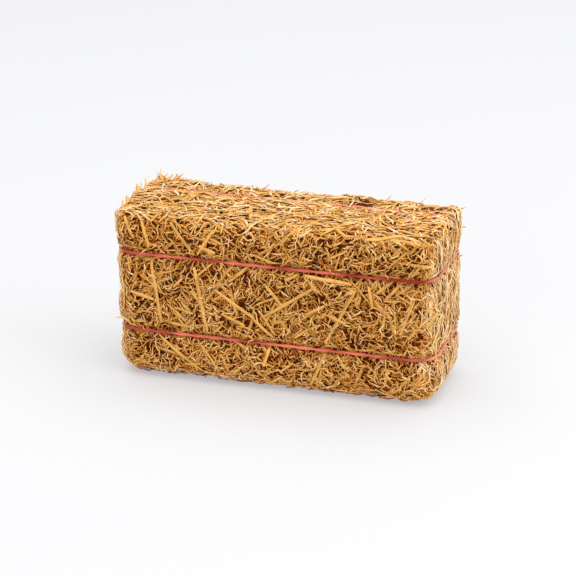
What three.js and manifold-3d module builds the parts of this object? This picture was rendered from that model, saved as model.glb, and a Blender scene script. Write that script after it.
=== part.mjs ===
// A miniature square straw bale, tied with three loops of red twine.
// Millimetres, +Z up. The bale stands on the plane z = 0 with its length along X and its front towards -Y.
import * as THREE from "three";
import { mergeVertices } from "three/addons/utils/BufferGeometryUtils.js";
import Module from "manifold-3d";

// Driving dimensions of the packed straw.
const LENGTH = 127.5;
const DEPTH = 47;
const HEIGHT = 66.8;
const EDGE_RADIUS = 9.5;
const TOP_RADIUS = 3;
const TOP_BLEND = 14;
const FLARE = 0.3;
const SLANT = 0.6;
const LUMP = 0.6;
const GRID_STEP = 14;

// Driving dimensions of the twine. Heights are above the floor.
const TWINE_DIAMETER = 1.4;
const UPPER_HEIGHT = 50.7;
const LOWER_HEIGHT = 19.5;
const LENGTHWISE_SETBACK = 12;
const TWINE_BITE = 0.75;
const SUNK_BITE = 1.2;
const BURIED_BITE = 2.7;
const WAIST_DENT = 0.6;
const WAIST_WIDTH = 4;
const KNOT_RADIUS = 1.6;
const CLEARANCE = 0.4;
const TWINE_SIDES = 8;
const SEAT_SIDES = 6;

// Driving dimensions of the broad stalks that lie on the surface.
const STALK_WIDTH = 1.7;
const STALK_THICKNESS = 2.2;
const STALK_PROUD = 0.95;
const STALK_TUCK = 1.2;
const LOOSE_THICKNESS = 1.1;

// The broad stalks that stand out on the front: x, height above the floor, slope in degrees, length.
const FRONT_STALKS = [
  [-46, 37, -82, 26], [-56, 60, -67, 10], [-49, 59, -74, 11], [-35, 58.5, -52, 15],
  [-26, 58.5, 59, 12], [-28, 35.5, -79, 26], [-15, 34.5, -33, 19], [-3, 27, -42, 11],
  [1, 39.5, -49, 11], [8, 37.5, 35, 25], [27, 34, 62, 26], [18, 11, 68, 16],
  [-52, 34, -15, 10], [-37, 11.5, -36, 22], [22, 47.5, -5, 19], [53, 36.5, 70, 16],
];

// How many broad stalks lie on the faces that have no list, and how far their slopes stray from the main lay.
const SCATTERED_STALKS = [
  { face: "top", count: 11, lay: 0, stray: 28 },
  { face: "back", count: 11, lay: 90, stray: 85 },
  { face: "right", count: 4, lay: 90, stray: 35 },
  { face: "left", count: 4, lay: 90, stray: 35 },
];
const SCATTER_LENGTHS = [12, 24];

// Loose ends that stand off the edges: face, two coordinates on it, slope in degrees, length, lift of the tip.
const LOOSE_ENDS = [
  ["top", -55, 19, 118, 10, 3.4], ["top", -50, 20, 75, 9, 2.6], ["top", -58, 15, 160, 8, 2.2],
  ["top", 32, 20, 60, 9, 1.6], ["top", 57, 18, 20, 9, 1.4], ["front", -58, 21.5, 172, 9, 1.6],
  ["right", 16, 49, 25, 8, 1.5], ["back", 40, 60, 60, 9, 1.6],
];

const STRAW_COLOUR = 0xbf8d45;
const TWINE_COLOUR = 0xb8494a;
const RANDOM_SEED = 7;

const half = { x: LENGTH / 2, y: DEPTH / 2, z: HEIGHT / 2 };
const lengthwiseY = half.y - LENGTHWISE_SETBACK;
const twineRadius = TWINE_DIAMETER / 2;
const wasm = await Module();
wasm.setup();

// Repeatable random numbers from 0 to 1.
let randomState = RANDOM_SEED;
function random() {
  randomState = (randomState * 16807) % 2147483647;
  return randomState / 2147483647;
}

// Solids that can be joined and cut.
function toSolid(geometry) {
  const bare = geometry.clone();
  bare.deleteAttribute("normal");
  bare.deleteAttribute("uv");
  const merged = mergeVertices(bare, 1e-4);
  const vertProperties = new Float32Array(merged.attributes.position.array);
  const triVerts = new Uint32Array(merged.index.array);
  return new wasm.Manifold(new wasm.Mesh({ numProp: 3, vertProperties, triVerts }));
}

function toMesh(name, solid, material) {
  const { vertProperties, triVerts } = solid.getMesh();
  const geometry = new THREE.BufferGeometry();
  geometry.setAttribute("position", new THREE.BufferAttribute(vertProperties, 3));
  geometry.setIndex(new THREE.BufferAttribute(triVerts, 1));
  geometry.computeVertexNormals();
  const mesh = new THREE.Mesh(geometry, material);
  mesh.name = name;
  return mesh;
}

// The packed block. Heights here are measured from its middle until the whole bale is lifted at the end.
function lump(p) {
  const long = Math.sin(p.x * 0.11 + p.z * 0.05 + 0.8) * Math.cos(p.y * 0.16 - 0.4);
  const short = Math.sin(p.x * 0.29 - p.y * 0.21) * Math.cos(p.z * 0.27 + p.y * 0.12 + 1.1);
  return LUMP * (0.6 * long + 0.6 * short);
}

function waistDent(p, out) {
  const across = (distance) => Math.exp(-((distance / WAIST_WIDTH) ** 2));
  const upper = across(p.z + half.z - UPPER_HEIGHT);
  const lower = across(p.z + half.z - LOWER_HEIGHT);
  const lengthwise = across(p.y - lengthwiseY) * Math.max(out.z, 0);
  return WAIST_DENT * ((upper + lower) * (1 - Math.abs(out.z)) + lengthwise);
}

// The upright and lower edges are well rounded, and get sharper towards the top.
function edgeRadius(z) {
  const share = THREE.MathUtils.clamp((half.z - z) / TOP_BLEND, 0, 1);
  return THREE.MathUtils.lerp(TOP_RADIUS, EDGE_RADIUS, share);
}

// The ends lean: the bale is a little longer at the top, and its top has slipped to the left.
function lean(x, z) {
  return (((FLARE * x) / half.x - SLANT) * z) / half.z;
}

// Moves a point of the sharp box onto the rounded, lumpy straw, raised by a given height along the normal.
function onStraw(p, raised = 0) {
  const radius = edgeRadius(p.z);
  const core = new THREE.Vector3();
  for (const axis of ["x", "y", "z"]) {
    const reach = half[axis] - radius;
    core[axis] = THREE.MathUtils.clamp(p[axis], -reach, reach);
  }
  const out = p.clone().sub(core).normalize();
  const flatUnderside = 1 - Math.max(-out.z, 0);
  const swell = (lump(p) - waistDent(p, out)) * flatUnderside;
  core.addScaledVector(out, radius + swell + raised);
  core.x += lean(core.x, p.z);
  return core;
}

// Grid lines over one side: close together on the rounded edges and on each twine line, wide apart elsewhere.
function gridLines(reach, twineLines) {
  const flat = reach - EDGE_RADIUS;
  const lines = [reach, reach - TOP_RADIUS * 0.6, reach - EDGE_RADIUS * 0.55].flatMap((at) => [-at, at]);
  const stops = [-flat, ...twineLines.flatMap((at) => [at - WAIST_WIDTH, at, at + WAIST_WIDTH]), flat];
  stops.sort((a, b) => a - b);
  for (let i = 0; i + 1 < stops.length; i += 1) {
    const pieces = Math.max(1, Math.round((stops[i + 1] - stops[i]) / GRID_STEP));
    for (let k = 0; k < pieces; k += 1) {
      lines.push(stops[i] + ((stops[i + 1] - stops[i]) * k) / pieces);
    }
  }
  lines.push(flat);
  return lines.sort((a, b) => a - b);
}

function blockSolid() {
  const lines = {
    x: gridLines(half.x, []),
    y: gridLines(half.y, [lengthwiseY]),
    z: gridLines(half.z, [LOWER_HEIGHT - half.z, UPPER_HEIGHT - half.z]),
  };
  const counts = [lines.x.length - 1, lines.y.length - 1, lines.z.length - 1];
  const geometry = new THREE.BoxGeometry(1, 1, 1, ...counts);
  const positions = geometry.attributes.position;
  const p = new THREE.Vector3();
  for (let i = 0; i < positions.count; i += 1) {
    p.fromBufferAttribute(positions, i);
    for (const axis of ["x", "y", "z"]) {
      p[axis] = lines[axis][Math.round((p[axis] + 0.5) * (lines[axis].length - 1))];
    }
    positions.setXYZ(i, ...onStraw(p).toArray());
  }
  return toSolid(geometry);
}

// Turns two coordinates on a face into a point of the sharp box. The second one is a height on the upright faces.
const facePoint = {
  front: (u, v) => new THREE.Vector3(u, -half.y, v - half.z),
  back: (u, v) => new THREE.Vector3(-u, half.y, v - half.z),
  right: (u, v) => new THREE.Vector3(half.x, u, v - half.z),
  left: (u, v) => new THREE.Vector3(-half.x, -u, v - half.z),
  top: (u, v) => new THREE.Vector3(u, v, half.z),
};

// One broad flat stalk that lies along the straw, its ends tucked in. A lift lets its far end stand off.
function stalkSolid(face, u, v, slope, length, lift = 0) {
  const thickness = lift > 0 ? LOOSE_THICKNESS : STALK_THICKNESS;
  const geometry = new THREE.BoxGeometry(length, STALK_WIDTH, thickness, 3, 1, 1);
  const positions = geometry.attributes.position;
  const turn = THREE.MathUtils.degToRad(slope);
  const p = new THREE.Vector3();
  for (let i = 0; i < positions.count; i += 1) {
    p.fromBufferAttribute(positions, i);
    const along = (2 * p.x) / length;
    const loose = lift > 0 && along > 0;
    const raised = p.z + STALK_PROUD - thickness / 2 + (loose ? lift : -STALK_TUCK) * along ** 2;
    const side = p.y * (loose ? 1 - along / 2 : 1);
    const across = u + p.x * Math.cos(turn) - side * Math.sin(turn);
    const up = v + p.x * Math.sin(turn) + side * Math.cos(turn);
    positions.setXYZ(i, ...onStraw(facePoint[face](across, up), raised).toArray());
  }
  return toSolid(geometry);
}

function scatteredStalks() {
  const stalks = [];
  const margin = SCATTER_LENGTHS[0] / 2;
  for (const { face, count, lay, stray } of SCATTERED_STALKS) {
    const wide = face === "left" || face === "right" ? half.y : half.x;
    const low = face === "top" ? -half.y + margin : margin;
    const high = face === "top" ? half.y - margin : HEIGHT - margin;
    for (let i = 0; i < count; i += 1) {
      const u = (wide - margin) * (((2 * (i + random())) / count) - 1);
      const v = low + (high - low) * random();
      const slope = lay + stray * (2 * random() - 1);
      const length = THREE.MathUtils.lerp(...SCATTER_LENGTHS, random());
      stalks.push(stalkSolid(face, u, v, slope, length));
    }
  }
  return stalks;
}

// Twine. A loop is a rectangle with round corners, given by points that are close together on the corners only.
class TwineLoop extends THREE.Curve {
  constructor(points) {
    super();
    this.points = points;
  }

  getPointAt(t, target = new THREE.Vector3()) {
    const index = Math.round(t * this.points.length) % this.points.length;
    return target.copy(this.points[index]);
  }

  getTangentAt(t, target = new THREE.Vector3()) {
    const count = this.points.length;
    const index = Math.round(t * count) % count;
    const before = this.points[(index + count - 1) % count];
    const after = this.points[(index + 1) % count];
    return target.subVectors(after, before).normalize();
  }
}

const CORNER_STEPS = 4;
const RUN_STEPS = 3;

// The first radius is that of the two corners on the far side, the second that of the two on the near side.
function loopOutline(reachA, reachB, farRadius, nearRadius) {
  const corners = [[1, 1], [-1, 1], [-1, -1], [1, -1]].map(([a, b], quarter) => {
    const radius = b > 0 ? farRadius : nearRadius;
    const centre = new THREE.Vector2(a * (reachA - radius), b * (reachB - radius));
    return Array.from({ length: CORNER_STEPS + 1 }, (_, i) => {
      const angle = (Math.PI / 2) * (quarter + i / CORNER_STEPS);
      return new THREE.Vector2(Math.cos(angle), Math.sin(angle)).multiplyScalar(radius).add(centre);
    });
  });
  return corners.flatMap((corner, quarter) => {
    const start = corner[CORNER_STEPS];
    const end = corners[(quarter + 1) % corners.length][0];
    const run = Array.from({ length: RUN_STEPS - 1 }, (_, i) => start.clone().lerp(end, (i + 1) / RUN_STEPS));
    return [...corner, ...run];
  });
}

function roundLoop(height) {
  const z = height - half.z;
  const radius = edgeRadius(z) - TWINE_BITE;
  const outline = loopOutline(half.x - TWINE_BITE, half.y - TWINE_BITE, radius, radius);
  return outline.map((p) => new THREE.Vector3(p.x + lean(p.x, z), p.y, z));
}

function lengthwiseLoop() {
  const reachZ = half.z - (SUNK_BITE + TWINE_BITE) / 2;
  const outline = loopOutline(half.x - BURIED_BITE, reachZ, TOP_RADIUS, EDGE_RADIUS);
  const sunk = (SUNK_BITE - TWINE_BITE) / 2;
  return outline.map((p) => new THREE.Vector3(p.x, lengthwiseY, p.y - sunk));
}

function tailSolid(points, radius) {
  const section = new THREE.Shape().absarc(0, 0, radius, 0, 2 * Math.PI);
  const extrudePath = new THREE.CatmullRomCurve3(points);
  return toSolid(new THREE.ExtrudeGeometry(section, { steps: 4, curveSegments: 3, extrudePath }));
}

// A whole loop with its knot and two cut tails. A swelling makes the seat that the straw leaves for it.
function twineSolid({ points, knot, tails }, sides, swelling = 0) {
  const radius = twineRadius + swelling;
  const loop = new THREE.TubeGeometry(new TwineLoop(points), points.length, radius, sides, true);
  const ball = new THREE.IcosahedronGeometry(KNOT_RADIUS + swelling, 1);
  ball.translate(...knot.toArray());
  let solid = toSolid(loop).add(toSolid(ball));
  for (const route of tails) {
    const tail = [knot, ...route.map((step) => knot.clone().add(step))];
    solid = solid.add(tailSolid(tail, radius));
  }
  return solid;
}

// The round loops are knotted on the back, where their tails leave sideways and hang down.
function backTwine(height, knotX, reach) {
  const knot = new THREE.Vector3(knotX, half.y - TWINE_BITE, height - half.z);
  const tails = [-1, 1].map((side) => [
    new THREE.Vector3(side * reach * 0.7, 0.7, -1.5),
    new THREE.Vector3(side * reach, 0.9, -9),
  ]);
  return { points: roundLoop(height), knot, tails };
}

// The lengthwise loop is knotted underneath, in a pocket, with its tails pressed into the straw.
function undersideTwine(knotX) {
  const knot = new THREE.Vector3(knotX, lengthwiseY, KNOT_RADIUS + twineRadius - half.z);
  const settle = twineRadius + CLEARANCE - half.z - knot.z;
  const tails = [-1, 1].map((side) => [
    new THREE.Vector3(side * 4, -2, settle),
    new THREE.Vector3(side * 8, -6, settle),
  ]);
  return { points: lengthwiseLoop(), knot, tails };
}

const twines = {
  upper_twine: backTwine(UPPER_HEIGHT, 18, 5),
  lower_twine: backTwine(LOWER_HEIGHT, -14, 7),
  lengthwise_twine: undersideTwine(12),
};

// The packed straw with its stalks, cut away where each twine bites into it.
function strawSolid() {
  let straw = blockSolid();
  for (const [x, height, slope, length] of FRONT_STALKS) {
    straw = straw.add(stalkSolid("front", x, height, slope, length));
  }
  for (const stalk of scatteredStalks()) {
    straw = straw.add(stalk);
  }
  for (const [face, u, v, slope, length, lift] of LOOSE_ENDS) {
    straw = straw.add(stalkSolid(face, u, v, slope, length, lift));
  }
  for (const twine of Object.values(twines)) {
    straw = straw.subtract(twineSolid(twine, SEAT_SIDES, CLEARANCE));
  }
  return straw;
}

const bale = new THREE.Group();
const strawFinish = new THREE.MeshStandardMaterial({ color: STRAW_COLOUR, roughness: 0.75, metalness: 0 });
bale.add(toMesh("straw_bale", strawSolid(), strawFinish));
for (const [name, twine] of Object.entries(twines)) {
  const twineFinish = new THREE.MeshStandardMaterial({ color: TWINE_COLOUR, roughness: 0.6, metalness: 0 });
  bale.add(toMesh(name, twineSolid(twine, TWINE_SIDES), twineFinish));
}

// Stands the bale on the floor with the middle of its outline over the origin.
const outline = new THREE.Box3().setFromObject(bale);
const middle = outline.getCenter(new THREE.Vector3());
bale.position.set(-middle.x, -middle.y, half.z);

export default bale;
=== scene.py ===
# %% [markdown]
# # A miniature straw bale, stalk by stalk
# The real bale is a brick of cut straw: thousands of stalks and shredded fibres pressed together, with
# three loops of thin red twine that bite into them. It could be one lumpy block with a straw picture on it,
# but straw is seen by its gaps and its crossing stalks, so here every visible stalk is its own small mesh,
# laid on the CAD form.

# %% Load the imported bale
import math

import bmesh
import bpy
from mathutils import Matrix, Vector
from mathutils.geometry import interpolate_bezier


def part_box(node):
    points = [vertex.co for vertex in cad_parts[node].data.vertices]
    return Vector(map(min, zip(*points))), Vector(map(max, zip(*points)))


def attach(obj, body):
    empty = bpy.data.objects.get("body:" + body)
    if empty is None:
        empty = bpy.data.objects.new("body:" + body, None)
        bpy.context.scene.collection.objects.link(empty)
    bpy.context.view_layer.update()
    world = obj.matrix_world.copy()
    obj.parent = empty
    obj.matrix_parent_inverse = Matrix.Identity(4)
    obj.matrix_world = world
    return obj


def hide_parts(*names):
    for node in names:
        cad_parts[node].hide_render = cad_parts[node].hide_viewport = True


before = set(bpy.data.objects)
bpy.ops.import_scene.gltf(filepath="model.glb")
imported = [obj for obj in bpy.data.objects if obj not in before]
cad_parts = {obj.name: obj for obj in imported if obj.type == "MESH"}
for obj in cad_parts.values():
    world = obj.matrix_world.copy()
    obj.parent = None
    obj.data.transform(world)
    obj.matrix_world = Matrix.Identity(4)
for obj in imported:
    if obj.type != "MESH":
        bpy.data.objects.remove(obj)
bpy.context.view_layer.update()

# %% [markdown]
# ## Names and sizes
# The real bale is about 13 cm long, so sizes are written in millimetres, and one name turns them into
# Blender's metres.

MM = 0.001

# %% [markdown]
# ## A workbench for node trees
# Straw repeats and follows a surface, so Geometry Nodes lay it. A tree of nodes could be drawn by hand in
# the node editor, but written out it can be read and run again. These helpers keep it short: one makes a
# tree with named inputs, one puts a node in it and wires it up.

# %% Helpers that build a Geometry Nodes tree
SOCKETS = {"geometry": "NodeSocketGeometry", "number": "NodeSocketFloat", "count": "NodeSocketInt",
           "vector": "NodeSocketVector", "object": "NodeSocketObject", "material": "NodeSocketMaterial"}


def new_tree(name, **inputs):
    """A tree with one geometry output and the named inputs, and the sockets of those inputs."""
    tree = bpy.data.node_groups.new(name, "GeometryNodeTree")
    tree.interface.new_socket("Geometry", in_out="OUTPUT", socket_type=SOCKETS["geometry"])
    for title, kind in inputs.items():
        tree.interface.new_socket(title, in_out="INPUT", socket_type=SOCKETS[kind])
    entry = tree.nodes.new("NodeGroupInput")
    return tree, {title: entry.outputs[title] for title in inputs}


def put(tree, kind, wires=None, **settings):
    """Adds a node, sets its options, and feeds each input with a socket or a plain value."""
    node = tree.nodes.new(kind)
    for option, value in settings.items():
        setattr(node, option, value)
    for key, value in (wires or {}).items():
        if isinstance(value, bpy.types.NodeSocket):
            tree.links.new(value, node.inputs[key])
        else:
            node.inputs[key].default_value = value
    return node


def sums(tree, operation, *values):
    return put(tree, "ShaderNodeMath", dict(enumerate(values)), operation=operation).outputs[0]


def vectors(tree, operation, *values, scale=None):
    wires = dict(enumerate(values))
    if scale is not None:
        wires["Scale"] = scale
    node = put(tree, "ShaderNodeVectorMath", wires, operation=operation)
    return node.outputs["Value" if operation == "DOT_PRODUCT" else "Vector"]


def finish_tree(tree, geometry, material):
    """Every tree that makes a piece ends here: real geometry, not instances, with its material on it."""
    real = put(tree, "GeometryNodeRealizeInstances", {"Geometry": geometry}).outputs["Geometry"]
    dressed = put(tree, "GeometryNodeSetMaterial", {"Geometry": real, "Material": material})
    put(tree, "NodeGroupOutput", {"Geometry": dressed.outputs["Geometry"]})


# %% [markdown]
# ## From a tree to a mesh
# A node tree is only a recipe. An object carries it as a modifier, and what comes out could stay live
# there. Here the result is copied into a plain mesh and the carrier is thrown away, so that every piece is
# ready for export.

# %% Helpers that run a tree and put what it makes in the scene
def mesh_of(name, points, edges=(), faces=()):
    mesh = bpy.data.meshes.new(name)
    mesh.from_pydata([tuple(p) for p in points], list(edges), list(faces))
    return mesh


def add_object(name, data):
    """Puts a mesh, a lamp or a camera in the scene."""
    thing = bpy.data.objects.new(name, data)
    bpy.context.scene.collection.objects.link(thing)
    return thing


def run_tree(tree, name, mesh, **values):
    """Runs a tree on a mesh and returns the result as a plain mesh object with no modifier left."""
    bench = add_object(name + "_bench", mesh)
    modifier = bench.modifiers.new("nodes", "NODES")
    modifier.node_group = tree
    for item in tree.interface.items_tree:
        if item.in_out == "INPUT" and item.name in values:
            modifier[item.identifier] = values[item.name]
    evaluated = bench.evaluated_get(bpy.context.evaluated_depsgraph_get())
    piece = add_object(name, bpy.data.meshes.new_from_object(evaluated))
    piece.data.name = name
    bpy.data.objects.remove(bench)
    return piece


def triangles(piece):
    return sum(len(face.vertices) - 2 for face in piece.data.polygons)


# %% [markdown]
# ## The routes of the twine
# Each loop is a rectangle with round corners. Its points could be copied from the CAD mesh, but a loop
# drawn afresh is even, and can be twisted later. Its place is read from the CAD loop: the box of the node
# gives its reach, and a stretch of the back run that is clear of the knot gives its depth.

# %% Find the three twine routes
TWINE_RADIUS = 0.7 * MM
KNOT_RADIUS = 1.6 * MM
TWINE_BITE = 0.75 * MM
SUNK_BITE = 1.2 * MM
TOP_RADIUS = 3 * MM
EDGE_RADIUS = 9.5 * MM
CORNER_STEPS = 8
X, Y, Z = Vector((1, 0, 0)), Vector((0, 1, 0)), Vector((0, 0, 1))


def loop_route(centre, axis_a, axis_b, reach_a, reach_b, far_radius, near_radius):
    """Points of a closed rectangle with round corners in the plane of two axes."""
    points = []
    for quarter, (a, b) in enumerate([(1, 1), (-1, 1), (-1, -1), (1, -1)]):
        radius = far_radius if b > 0 else near_radius
        for step in range(CORNER_STEPS + 1):
            turn = math.pi / 2 * (quarter + step / CORNER_STEPS)
            across = a * (reach_a - radius) + radius * math.cos(turn)
            up = b * (reach_b - radius) + radius * math.sin(turn)
            points.append(centre + axis_a * across + axis_b * up)
    return points


def round_route(node):
    low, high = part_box(node)
    height = high.z - KNOT_RADIUS
    corners = [v.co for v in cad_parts[node].data.vertices if abs(v.co.z - height) < TWINE_RADIUS / 2]
    back = max(co.y for co in corners if co.x < low.x / 2)
    middle = Vector(((low.x + high.x) / 2, (low.y + back) / 2, height))
    radius = EDGE_RADIUS - TWINE_BITE
    reach_x, reach_y = (high.x - low.x) / 2 - TWINE_RADIUS, (back - low.y) / 2 - TWINE_RADIUS
    return loop_route(middle, X, Y, reach_x, reach_y, radius, radius)


def lengthwise_route(node):
    low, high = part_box(node)
    top_run = [v.co.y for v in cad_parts[node].data.vertices if v.co.z > high.z - TWINE_RADIUS]
    middle = Vector(((low.x + high.x) / 2, (min(top_run) + max(top_run)) / 2,
                     (TWINE_BITE + high.z - TWINE_RADIUS) / 2))
    reach_x, reach_z = (high.x - low.x) / 2 - TWINE_RADIUS, high.z - TWINE_RADIUS - middle.z
    return loop_route(middle, X, Z, reach_x, reach_z, TOP_RADIUS, EDGE_RADIUS)


routes = {"upper_twine": round_route("upper_twine"), "lower_twine": round_route("lower_twine"),
          "lengthwise_twine": lengthwise_route("lengthwise_twine")}


def route_object(name, *loops):
    points, edges = [], []
    for loop in loops:
        first = len(points)
        points += loop
        edges += [(first + i, first + (i + 1) % len(loop)) for i in range(len(loop))]
    return add_object(name, mesh_of(name, points, edges))


round_guide = route_object("round_guide", routes["upper_twine"], routes["lower_twine"])
lengthwise_guide = route_object("lengthwise_guide", routes["lengthwise_twine"])
for name, route in routes.items():
    length = sum((b - a).length for a, b in zip(route, route[1:] + route[:1]))
    print(name, "loop is", round(length / MM), "mm long, first point", [round(v / MM, 1) for v in route[0]])

# %% [markdown]
# ## The form that the straw follows
# Stalks need a smooth form to lie on. The CAD solid has cut seats and fused stalks, so the form is built
# afresh by the same rule as the solid: a box whose edges are sharper at the top, ends that lean a little,
# soft lumps, and a waist under each twine. The loops of twine say how long, deep and high it is.

# %% Measure the block that the loops are tied round
upper, lower, lengthwise = routes.values()


def reach_of(axis, *loops):
    spots = [p[axis] for loop in loops for p in loop]
    return min(spots), max(spots)


loop_x = [reach_of(0, loop) for loop in (upper, lower)]
front, rear = reach_of(1, upper, lower)
half = Vector((sum(high - low for low, high in loop_x) / 4 + TWINE_BITE, (rear - front) / 2 + TWINE_BITE,
               (reach_of(2, lengthwise)[1] + SUNK_BITE) / 2))
centre = Vector((sum(low + high for low, high in loop_x) / 4, (front + rear) / 2, half.z))
print("straw block in mm:", [round(2 * v / MM, 1) for v in half])

# %% Make the smooth form of the bale
FORM_TOP_RADIUS = 4.5 * MM
FLARE = 0.3 * MM
SLANT = 0.6 * MM
TOP_BLEND = 14 * MM
LUMP = 0.6 * MM
WAIST_DENT = 0.6 * MM
WAIST_WIDTH = 4 * MM
FORM_STEP = 1.8 * MM


def lump(p):
    """How far crossing waves, about 57 and 22 mm long, raise or sink the straw at a point."""
    x, y, z = p / MM
    long = math.sin(x * 0.11 + z * 0.05 + 0.8) * math.cos(y * 0.16 - 0.4)
    short = math.sin(x * 0.29 - y * 0.21) * math.cos(z * 0.27 + y * 0.12 + 1.1)
    return LUMP * 0.6 * (long + short)


def waist(p, out):
    """How far the twines pinch the straw at a point whose surface looks out that way."""
    def across(distance):
        return math.exp(-(distance / WAIST_WIDTH) ** 2)
    rounds = across(p.z + half.z - upper[0].z) + across(p.z + half.z - lower[0].z)
    along = across(p.y + centre.y - lengthwise[0].y) * max(out.z, 0)
    return WAIST_DENT * (rounds * (1 - abs(out.z)) + along)


def on_straw(p):
    """Moves a point of the sharp box, measured from its middle, onto the rounded straw."""
    radius = FORM_TOP_RADIUS + (EDGE_RADIUS - FORM_TOP_RADIUS) * min(1, (half.z - p.z) / TOP_BLEND)
    core = Vector([max(-half[i] + radius, min(half[i] - radius, p[i])) for i in range(3)])
    out = (p - core).normalized()
    swell = (lump(p) - waist(p, out)) * (1 - max(-out.z, 0))
    place = core + out * (radius + swell)
    place.x += (place.x / half.x * FLARE - SLANT) * p.z / half.z
    return place + centre


def soft_form():
    grid = bmesh.new()
    bmesh.ops.create_cube(grid, size=2)
    for axis in range(3):
        spans = round(2 * half[axis] / FORM_STEP)
        for cut in range(1, spans):
            spot, way = Vector(), Vector()
            spot[axis], way[axis] = 2 * cut / spans - 1, 1
            whole = grid.verts[:] + grid.edges[:] + grid.faces[:]
            bmesh.ops.bisect_plane(grid, geom=whole, plane_co=spot, plane_no=way)
    for vertex in grid.verts:
        vertex.co = on_straw(Vector([vertex.co[i] * half[i] for i in range(3)]))
    mesh = bpy.data.meshes.new("form")
    grid.to_mesh(mesh)
    grid.free()
    return add_object("form", mesh)


form = soft_form()
print("form:", len(form.data.polygons), "faces")

# %% [markdown]
# ## The finish of straw
# A stalk is one colour for most of its length, and the next one is another: cream, tan, gold or brown. A
# picture of straw could give such colours, but it would repeat. So the colour is chosen by a number that
# each stalk carries in its own UV map (across), and varied gently along its length (up). A second noise
# turns some stalks to gold and others to a greyer tan. The same map serves any later bake, because the
# finish depends on nothing else.

# %% Helpers for finishes
def new_finish(name):
    """A material, its node tree and its main shader."""
    material = bpy.data.materials.new(name)
    material.use_nodes = True
    return material, material.node_tree, material.node_tree.nodes["Principled BSDF"]


def colour_ramp(tree, factor, stops):
    """Colours that a factor from 0 to 1 runs through, each at its own position."""
    ramp = put(tree, "ShaderNodeValToRGB", {"Fac": factor})
    marks = ramp.color_ramp.elements
    for position, _ in stops[1:-1]:
        marks.new(position)
    for mark, (position, colour) in zip(marks, stops):
        mark.position = position
        mark.color = (*colour, 1)
    return ramp.outputs["Color"]


def rescale(tree, value, **limits):
    """A value moved from one range to another. The limits are From_Min, From_Max, To_Min and To_Max."""
    wires = {title.replace("_", " "): limit for title, limit in limits.items()}
    return put(tree, "ShaderNodeMapRange", {"Value": value, **wires}).outputs["Result"]


# %% Straw material
STRAW_MAP = "OFBake"
# Dark brown to cream, and from 0.8 on the browner gold of broad stalks.
STRAW_COLOURS = [(0.00, (0.09, 0.011, 0.0002)), (0.18, (0.33, 0.066, 0.0008)), (0.38, (0.67, 0.26, 0.025)),
                 (0.58, (0.81, 0.47, 0.15)), (0.74, (0.94, 0.73, 0.48)), (0.80, (0.53, 0.262, 0.048)),
                 (1.00, (0.75, 0.395, 0.095))]
GOLDEN_CAST = (0.36, (1.0, 1.0, 0.79))
TAN_CAST = (0.64, (1.01, 0.97, 1.10))
CAST_SCALE = (2300, 0.6, 1)
MOTTLE_SCALE = (900, 3.5, 1)
MOTTLE_DARK = 0.72
MOTTLE_LIGHT = 1.18


def straw_finish():
    material, tree, shader = new_finish("dry_straw")
    place = put(tree, "ShaderNodeUVMap", uv_map=STRAW_MAP).outputs["UV"]

    def noise_on_map(scale, detail):
        stretched = put(tree, "ShaderNodeMapping", {"Vector": place, "Scale": scale}).outputs["Vector"]
        noise = put(tree, "ShaderNodeTexNoise", {"Vector": stretched, "Scale": 1, "Detail": detail})
        return noise.outputs["Fac"]

    number = put(tree, "ShaderNodeSeparateXYZ", {"Vector": place}).outputs["X"]
    colour = colour_ramp(tree, number, STRAW_COLOURS)
    cast = colour_ramp(tree, noise_on_map(CAST_SCALE, 1), [GOLDEN_CAST, TAN_CAST])
    mottle = noise_on_map(MOTTLE_SCALE, 3)
    shade = rescale(tree, mottle, From_Min=0.3, From_Max=0.7, To_Min=MOTTLE_DARK, To_Max=MOTTLE_LIGHT)
    tone = vectors(tree, "SCALE", vectors(tree, "MULTIPLY", colour, cast), scale=shade)
    tree.links.new(tone, shader.inputs["Base Color"])
    tree.links.new(rescale(tree, mottle, To_Min=0.42, To_Max=0.62), shader.inputs["Roughness"])
    bump = put(tree, "ShaderNodeBump", {"Height": mottle, "Strength": 0.15, "Distance": 0.1 * MM})
    tree.links.new(bump.outputs["Normal"], shader.inputs["Normal"])
    shader.inputs["Specular IOR Level"].default_value = 0.25
    return material


dry_straw = straw_finish()
print("dry_straw finish has", len(dry_straw.node_tree.nodes), "nodes")

# %% [markdown]
# ## What each straw keeps for itself
# No two straws are alike: one is pale and lies on top, the next is dark, thin and deep down, its tint darkened
# with depth as painted shade. A loop could number them, but there are tens of thousands. So the tree draws the
# numbers by chance from a fixed seed, stores them on the lines, and reads them wherever a step needs them.

# %% Helpers that let each straw keep numbers of its own
PRESS_NUMBERS = ("Curl", "CurlSize", "Low", "High", "Loose", "Stray", "Width", "Spread", "Taper", "Flatness",
                 "TintLow", "TintHigh", "Over", "Floor")
PRESS_INPUTS = {"Rounds": "object", "Lengthwise": "object", **dict.fromkeys(PRESS_NUMBERS, "number"),
                "Sides": "count", "Seed": "count"}
KEPT_NUMBERS = ("tint", "depth", "girth", "over", "slack", "roll", "along", "foot")
# Deeper straws get a darker tint: painted shade in the depth of the bale.
PAINTED_SHADE_BY_DEPTH = 0.6
TINT_BY_CHANCE = 0.4


def remember(tree, geometry, title, value, domain="CURVE", data_type="FLOAT"):
    kept = put(tree, "GeometryNodeStoreNamedAttribute", {"Geometry": geometry, "Name": title, "Value": value},
               domain=domain, data_type=data_type)
    return kept.outputs["Geometry"]


def recall(tree, title, data_type="FLOAT"):
    return put(tree, "GeometryNodeInputNamedAttribute", {"Name": title}, data_type=data_type).outputs[0]


def between(tree, low, high, share):
    return sums(tree, "MULTIPLY_ADD", sums(tree, "SUBTRACT", high, low), share, low)


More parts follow.
